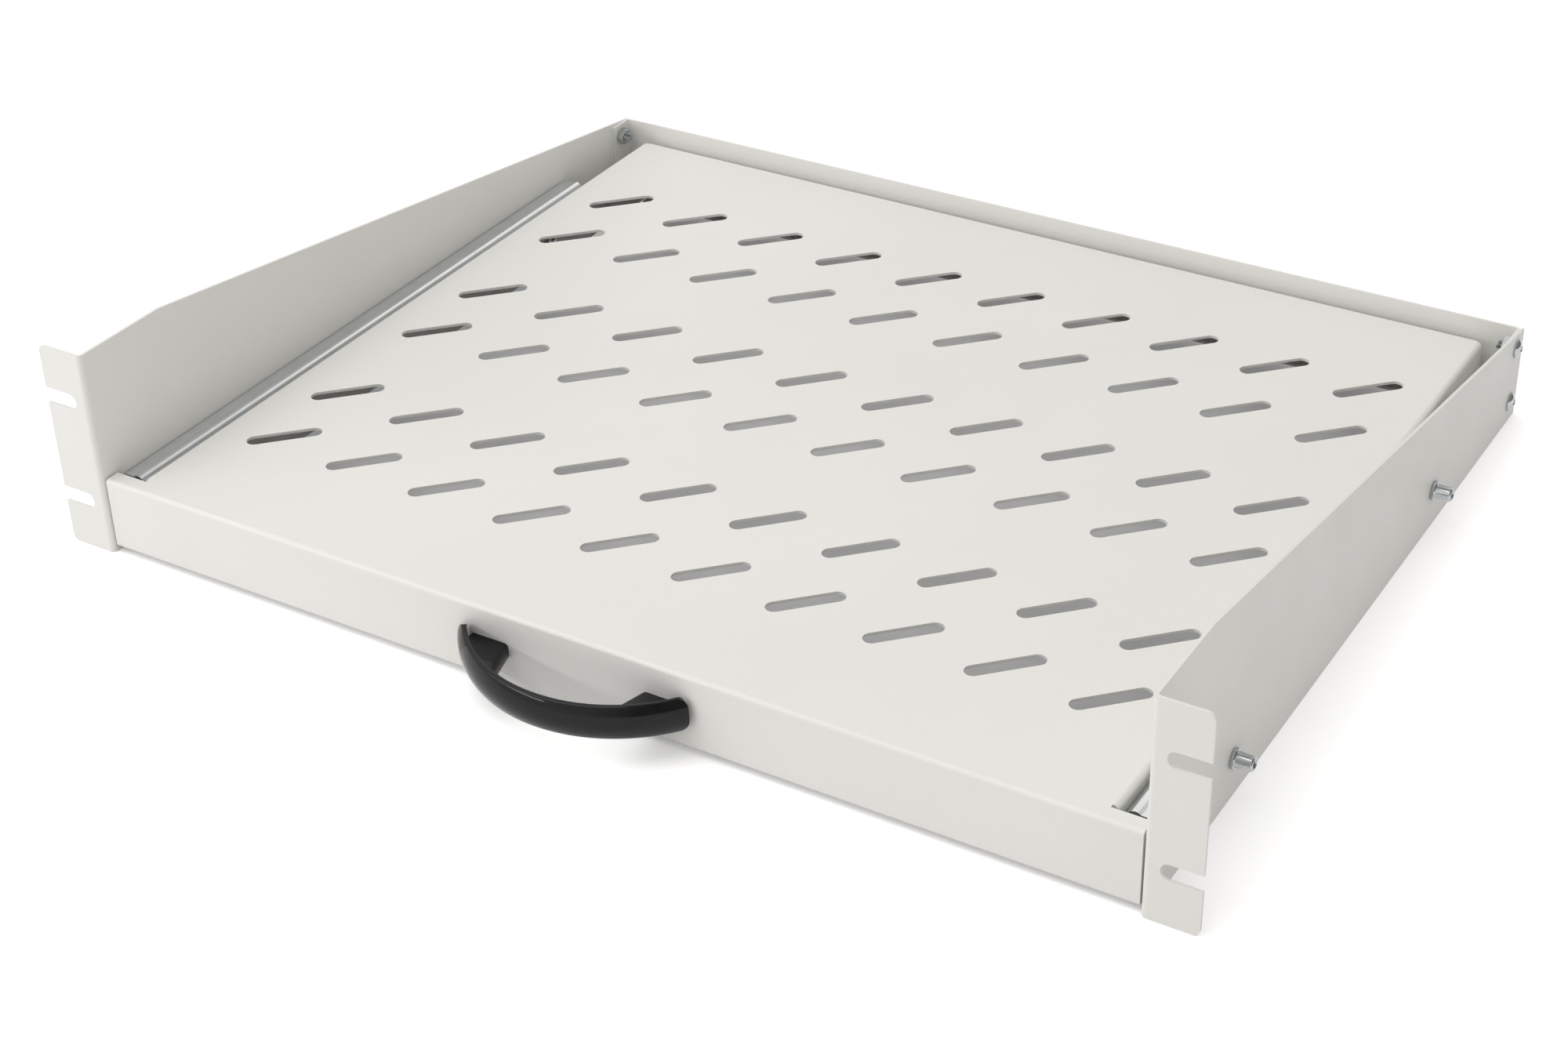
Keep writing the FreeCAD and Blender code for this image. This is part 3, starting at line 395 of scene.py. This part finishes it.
# %% Screws
RECESS_WIDTH, RECESS_DEPTH, RECESS_TAPER = 1.0, 1.3, (0.45, 0.7, 1.0)
THREAD_PLAY, TIP_INSET, TIP_SHOULDER, TIP_HEIGHT = 0.05, 0.45, 0.1, 0.35
THREAD_START, THREAD_ENDS, HEAD_EDGE, HEAD_WALL = 0.5, 0.6, 0.15, 0.7
DOME_SHARES = (0.93, 0.82, 0.68, 0.5, 0.28, 0.0)


def recess_bar(span, top, turn):
    """One bar of a cross recess, narrower at its foot, that stands up out of the head."""
    work = bmesh.new()
    verts = bmesh.ops.create_cube(work, size=1.0)["verts"]
    bmesh.ops.scale(work, vec=(span, RECESS_WIDTH, RECESS_DEPTH * 2), verts=verts)
    foot = [vert for vert in verts if vert.co.z < 0]
    bmesh.ops.scale(work, vec=RECESS_TAPER, verts=foot)
    bmesh.ops.rotate(work, cent=(0, 0, 0), matrix=Matrix.Rotation(turn, 3, "Z"), verts=verts)
    bmesh.ops.translate(work, vec=(0, 0, top), verts=verts)
    return work


def pan_screw(thread, length, pitch, head_radius, head_height, recess_span):
    """A screw whose head starts at Z = 0 and whose shank points down."""
    core, shank = thread / 2 - THREAD_PLAY, -length
    outline = [(0, shank), (core - TIP_INSET, shank), (core - TIP_SHOULDER, shank + TIP_HEIGHT)]
    for number in range(int((length - THREAD_ENDS) / pitch)):
        crest = shank + THREAD_START + pitch * number
        outline += [(core, crest), (core - pitch / 2, crest + pitch / 2)]
    outline += [(core, -THREAD_PLAY), (core, 0), (head_radius - HEAD_EDGE, 0), (head_radius, HEAD_EDGE),
                (head_radius, HEAD_WALL)]
    dome = head_height - HEAD_WALL
    dome_radius = (head_radius ** 2 + dome ** 2) / (2 * dome)
    for share in DOME_SHARES:
        radius = head_radius * share
        outline.append((radius, head_height - dome_radius + math.sqrt(dome_radius ** 2 - radius ** 2)))
    bars = [recess_bar(recess_span, head_height, turn) for turn in (0, math.pi / 2)]
    cross = combined(*bars, "UNION")
    return combined(turned(outline, 32), cross, "DIFFERENCE")


# %% [markdown]
# ### Nuts
# A hexagon nut is a prism that meets a turned blank with chamfered ends, which leaves the curved
# facets that real nuts have. Its thread is cut with a ridged core that is turned too.

# %% Hexagon nuts
FACE_SHARE, CHAMFER, SPARE, SPARE_RISE = 0.95, 30, 0.1, 0.06
COUNTERSINK, GROOVE, GROOVE_STEPS, CUT_PAST = 0.25, 0.18, 8, 1


def hexagon_nut(thread, flats, height):
    """A nut that sits on Z = 0, with a threaded bore and chamfered ends."""
    corner = flats / math.sqrt(3)
    prism = bmesh.new()
    bmesh.ops.create_cone(prism, cap_ends=True, segments=6, radius1=corner, radius2=corner, depth=height)
    bmesh.ops.translate(prism, vec=(0, 0, height / 2), verts=prism.verts)
    rim = flats / 2 * FACE_SHARE
    drop = (corner - rim) * math.tan(math.radians(CHAMFER))
    outside, rise = corner + SPARE, drop + SPARE_RISE
    blank = [(0, 0), (rim, 0), (corner, drop), (outside, rise),
             (outside, height - rise), (corner, height - drop), (rim, height), (0, height)]
    bore, step = thread / 2, height / GROOVE_STEPS
    mouth = bore + COUNTERSINK
    threads = [(0, -CUT_PAST), (mouth, -CUT_PAST), (mouth, 0), (bore, COUNTERSINK)]
    for number in range(1, GROOVE_STEPS - 1):
        threads.append((bore + (0.0 if number % 2 else GROOVE), COUNTERSINK + step * number))
    threads += [(bore, height - COUNTERSINK), (mouth, height), (mouth, height + CUT_PAST),
                (0, height + CUT_PAST)]
    shaped = combined(prism, turned(blank, 48), "INTERSECT")
    return combined(shaped, turned(threads, 32), "DIFFERENCE")


# %% [markdown]
# The places come from the boxes of the CAD groups. The rear screws go in from outside the plates and
# their nuts sit on the rear panel's folded ends. Smaller ones hold the tray to its rails.

# %% Fasteners of the rear panel
M4_SCREW = {"thread": 4.0, "pitch": 0.7, "head_radius": 3.9, "head_height": 2.4, "recess_span": 4.2}
M4_NUT = {"thread": 4.0, "flats": 7.0, "height": 3.2}
head = M4_SCREW["head_radius"] * MM
low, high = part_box("rear_panel_screws")
rear_y = (low[1] + high[1]) / 2
rear_levels = (low[2] + head, high[2] - head)
plate_outer = -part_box("left_rivet_nuts")[0][0] - REACH * MM
tab_inner = -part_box("rear_panel")[0][0] - PLATE * MM
spots, seats = [], []
for sign in SIDES.values():
    spots += [facing(sign * plate_outer, rear_y, z, (sign, 0, 0)) for z in rear_levels]
    seats += [facing(sign * tab_inner, rear_y, z, (-sign, 0, 0)) for z in rear_levels]
screws = repeated(pan_screw(length=8.0, **M4_SCREW), spots)
finish_piece("rear_panel_screws_turned", screws, "plated_fasteners", "frame", "rear_panel_screws")
nuts = repeated(hexagon_nut(**M4_NUT), seats)
finish_piece("rear_panel_nuts_cut", nuts, "plated_fasteners", "frame", "rear_panel_nuts")

# %% Fasteners of the tray
M3_SCREW = {"thread": 3.0, "pitch": 0.5, "head_radius": 3.0, "head_height": 1.8, "recess_span": 3.2}
M3_NUT = {"thread": 3.0, "flats": 5.5, "height": 2.4}
head, head_rise = M3_SCREW["head_radius"] * MM, M3_SCREW["head_height"] * MM
for side, sign in SIDES.items():
    low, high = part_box(side + "_tray_screws")
    level = (low[2] + high[2]) / 2
    stations = (low[1] + head, high[1] - head)
    under_head = (high[0] if sign > 0 else low[0]) - sign * head_rise
    spots = [facing(under_head, y, level, (sign, 0, 0)) for y in stations]
    screws = repeated(pan_screw(length=6.0, **M3_SCREW), spots)
    finish_piece(side + "_tray_screws_turned", screws, "plated_fasteners", "tray", side + "_tray_screws")
    low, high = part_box(side + "_tray_nuts")
    seats = [facing(high[0] if sign > 0 else low[0], y, level, (-sign, 0, 0)) for y in stations]
    nuts = repeated(hexagon_nut(**M3_NUT), seats)
    finish_piece(side + "_tray_nuts_cut", nuts, "plated_fasteners", "tray", side + "_tray_nuts")
low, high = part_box("handle_screws")
level = (low[2] + high[2]) / 2
spots = [facing(x, high[1] - head_rise, level, (0, 1, 0)) for x in (low[0] + head, high[0] - head)]
screws = repeated(pan_screw(length=9.2, **M3_SCREW), spots)
finish_piece("handle_screws_turned", screws, "plated_fasteners", "tray", "handle_screws")

# %% [markdown]
# ## Handle
# The bow handle is one moulding: a curved band with a crowned front, rounded over its edges, on two
# flared feet. A vertex spun about the crown's centre draws the crown, the corners of the section are
# bevelled, and the section is then spun about the upright axis of the bow.

# %% Section of the band
HALF_SPAN, BOW, BAND, CROWN = 46.7, 24.1, 3.9, 2.2
HALF_HEIGHT, CORNER, CORNER_RADIUS, PANEL_GAP = 6.9, 3.6, 3.8, 0.3
FRONT_ROUND, BACK_ROUND, RIM_ROUND = 1.2, 0.4, 0.3
BOW_RADIUS = (HALF_SPAN ** 2 + BOW ** 2) / (2 * BOW)
CREST = BOW_RADIUS + BAND


def band_section():
    """Closed outline of the band at its middle, with the front towards -Y."""
    work = bmesh.new()
    crown_radius = (HALF_HEIGHT ** 2 + CROWN ** 2) / (2 * CROWN)
    swing = 2 * math.asin(HALF_HEIGHT / crown_radius)
    start = work.verts.new((0, CROWN - CREST, -HALF_HEIGHT))
    bmesh.ops.spin(work, geom=[start], cent=(0, crown_radius - CREST, 0), axis=(-1, 0, 0),
                   dvec=(0, 0, 0), angle=swing, steps=28)
    work.verts.ensure_lookup_table()
    top = max(work.verts, key=lambda vert: vert.co.z)
    inner_top = work.verts.new((0, -BOW_RADIUS, HALF_HEIGHT))
    inner_low = work.verts.new((0, -BOW_RADIUS, -HALF_HEIGHT))
    for pair in ((top, inner_top), (inner_top, inner_low), (inner_low, start)):
        work.edges.new(pair)
    bmesh.ops.contextual_create(work, geom=work.edges)
    rounds = (((start, top), FRONT_ROUND, 6), ((inner_top, inner_low), BACK_ROUND, 3))
    for corners, offset, segments in rounds:
        bmesh.ops.bevel(work, geom=list(corners), offset=offset, offset_type="OFFSET", affect="VERTICES",
                        segments=segments, profile=0.5, material=-1, clamp_overlap=True)
    back = max(work.edges, key=lambda edge: edge.calc_length())
    bmesh.ops.subdivide_edges(work, edges=[back], cuts=26)
    bmesh.ops.delete(work, geom=work.faces, context="FACES_ONLY")
    return work


section = band_section()
print("section of the band:", len(section.verts), "vertices")

# %% [markdown]
# The spun band is closed at its ends, and the rims get a small bevel, because a moulding has no sharp
# edge. Then the ends get rounded corners: towards the upper and lower edge the band swings less far,
# by the drop of an arc, and each vertex keeps its share of that swing.


# %% The band
def band(work, steps=96):
    swing = math.asin(HALF_SPAN / BOW_RADIUS)
    bmesh.ops.rotate(work, cent=(0, 0, 0), matrix=Matrix.Rotation(-swing, 3, "Z"), verts=work.verts)
    bmesh.ops.spin(work, geom=work.verts[:] + work.edges[:], cent=(0, 0, 0), axis=(0, 0, 1),
                   dvec=(0, 0, 0), angle=2 * swing, steps=steps)
    rims = [edge for edge in work.edges if edge.is_boundary]
    bmesh.ops.holes_fill(work, edges=rims)
    bmesh.ops.recalc_face_normals(work, faces=work.faces)
    bmesh.ops.bevel(work, geom=rims, offset=RIM_ROUND, offset_type="OFFSET", affect="EDGES", segments=2,
                    profile=0.5, material=-1, clamp_overlap=True)
    caps = [face for face in work.faces if len(face.verts) > 4]
    bmesh.ops.triangulate(work, faces=caps, ngon_method="BEAUTY")
    for vert in work.verts:
        rise = max(abs(vert.co.z) - (HALF_HEIGHT - CORNER), 0)
        drop = CORNER_RADIUS - math.sqrt(CORNER_RADIUS ** 2 - rise ** 2)
        turn = -math.atan2(vert.co.x, -vert.co.y) * drop / (BOW_RADIUS * swing)
        vert.co.rotate(Matrix.Rotation(turn, 3, "Z"))
    return work


# %% [markdown]
# A foot is a wedge that widens from the panel to the band. Its plan is drawn flat and extruded, and
# the two edges towards the middle get the broad chamfer that the moulding has.


# %% The feet
FOOT_INNER, FOOT_OUTER, FOOT_TIP = 28.9, 44.5, 23.4
FOOT_REACH, FOOT_LOW, FOOT_HEIGHT, FOOT_CHAMFER = BOW_RADIUS + 0.7, -4.3, 6.4, 1.5
PANEL_Y = BOW + PANEL_GAP - BOW_RADIUS
NEAR, SLANT_LENGTH = 0.01, 15


def foot(side):
    work = bmesh.new()
    tip_y = -math.sqrt(FOOT_REACH ** 2 - FOOT_TIP ** 2)
    turn = math.asin(FOOT_OUTER / FOOT_REACH) - math.asin(FOOT_TIP / FOOT_REACH)
    tip = work.verts.new((FOOT_TIP, tip_y, FOOT_LOW))
    bmesh.ops.spin(work, geom=[tip], cent=(0, 0, 0), axis=(0, 0, 1), dvec=(0, 0, 0),
                   angle=turn, steps=8)
    last = max(work.verts, key=lambda vert: vert.co.x)
    outer = work.verts.new((FOOT_OUTER, PANEL_Y, FOOT_LOW))
    inner = work.verts.new((FOOT_INNER, PANEL_Y, FOOT_LOW))
    for pair in ((last, outer), (outer, inner), (inner, tip)):
        work.edges.new(pair)
    bmesh.ops.contextual_create(work, geom=work.edges)
    raised = bmesh.ops.extrude_face_region(work, geom=work.faces[:], use_keep_orig=True)["geom"]
    upper = [item for item in raised if isinstance(item, bmesh.types.BMVert)]
    bmesh.ops.translate(work, vec=(0, 0, FOOT_HEIGHT), verts=upper)
    bmesh.ops.recalc_face_normals(work, faces=work.faces)
    slanted = [edge for edge in work.edges
               if all(vert.co.x < FOOT_INNER + NEAR for vert in edge.verts)
               and abs(edge.verts[0].co.z - edge.verts[1].co.z) < NEAR
               and edge.calc_length() > SLANT_LENGTH]
    bmesh.ops.bevel(work, geom=slanted, offset=FOOT_CHAMFER, offset_type="OFFSET", affect="EDGES",
                    segments=2, profile=0.5, material=-1)
    if side < 0:
        bmesh.ops.scale(work, vec=(-1, 1, 1), verts=work.verts)
    bmesh.ops.recalc_face_normals(work, faces=work.faces)
    return work


moulding = band(section)
for sign in SIDES.values():
    moulding = combined(moulding, foot(sign), "UNION")
low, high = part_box("handle")
spot = Matrix.Translation((0, high[1] - PANEL_Y * MM, (low[2] + high[2]) / 2))
finish_piece("handle_moulding", repeated(moulding, [spot]), "black_plastic", "tray", "handle", sharp=40)

# %% [markdown]
# ## Floor and light
# The shelf stands on a plain white table. To the camera, and in reflections, the open floor glows a
# little, so that it is white. The glow fades where the shelf stands over the floor or close beside
# it, so the shade under it stays grey, also under a tray that is pulled out.


# %% Floor
FLOOR_SIZE, SHADE_REACH, GLOW = 8.0, 0.1, 0.6


def ray_kinds(wire):
    """Three wires that are 1 for a ray from the camera, in a reflection or through glass, else 0."""
    return [wire.node("LightPath", output=number) for number in (0, 3, 6)]


def white_floor():
    material, wire, shader = start_finish("white_floor")
    shade = grain(wire, 3.0).span(0.3, 0.7)
    wire.fill(shader.inputs["Base Color"], shade.tint((0.84, 0.84, 0.845), (0.86, 0.86, 0.86)))
    wire.fill(shader.inputs["Roughness"], 0.9)
    wire.fill(shader.inputs["Specular IOR Level"], 0.0)
    openness = wire.node("AmbientOcclusion", {"samples": 16}, {"Distance": SHADE_REACH}, output=1)
    glow = wire.node("Emission", {}, {"Color": (1, 1, 1, 1), "Strength": GLOW})
    nothing = wire.node("Emission", {}, {"Color": (0, 0, 0, 1), "Strength": 0.0})
    camera_ray, glossy_ray, through = ray_kinds(wire)
    share = (camera_ray + through) * openness.span(0.05, 0.9, 0.2, 1.0) + glossy_ray * 0.5
    lit = wire.node("MixShader", {}, {0: share, 1: nothing, 2: glow})
    both = wire.node("AddShader", {}, {0: Wire(wire.tree, shader.outputs[0]), 1: lit})
    wire.fill(wire.tree.nodes["Material Output"].inputs["Surface"], both)
    return material


work = bmesh.new()
bmesh.ops.create_grid(work, x_segments=2, y_segments=2, size=FLOOR_SIZE)
bmesh.ops.translate(work, vec=(0, 0, cad_box[0][2]), verts=work.verts)
floor = to_object("floor", work)
floor.data.materials.append(white_floor())
print("floor at", round(cad_box[0][2], 5))

# %% [markdown]
# The studio is white, and darker overhead and to the right, which gives plated metal and black plastic
# something to reflect. Two lamps model the folds: a broad one above on the left, and a low, thin strip
# in front on the left, whose reflection runs along the crown of the handle.

# %% World
AMBIENT = 0.69
scene = bpy.context.scene
scene.view_settings.view_transform = "Standard"
world = bpy.data.worlds.new("studio")
scene.world = world
world.use_nodes = True
sky = Wire(world.node_tree)
heading = sky.node("TexCoord", output=0)
across, height = (sky.node("SeparateXYZ", {}, {0: heading}, output=axis) for axis in (0, 2))
overhead, right = height.span(0.72, 0.95), across.span(0.15, 0.6)
camera_ray, glossy_ray, through = ray_kinds(sky)
seen = camera_ray + glossy_ray + through
strength = seen.span(0.0, 1.0, AMBIENT - right * 0.05, 1.0) - glossy_ray * (overhead * 0.6 + right * 0.75)
background = world.node_tree.nodes["Background"]
sky.fill(background.inputs["Color"], (1.0, 0.985, 0.965, 1))
sky.fill(background.inputs["Strength"], strength)
print("ambient:", AMBIENT)


# %% Lamps
def area_lamp(name, place, target, size, power):
    lamp = bpy.data.lights.new(name, "AREA")
    lamp.shape = "RECTANGLE"
    lamp.size, lamp.size_y = size
    lamp.energy = power
    made = bpy.data.objects.new(name, lamp)
    made.location = place
    made.rotation_euler = (Vector(target) - Vector(place)).to_track_quat("-Z", "Y").to_euler()
    bpy.context.collection.objects.link(made)
    return made


AIM = (0, 0.12, 0.02)
key = area_lamp("key", (-0.6, -0.35, 1.75), AIM, (1.4, 1.4), 12.5)
strip = area_lamp("strip", (-0.75, -0.75, 0.4), AIM, (0.9, 0.09), 2.4)
print("lamps:", [(lamp.name, lamp.data.energy) for lamp in (key, strip)])
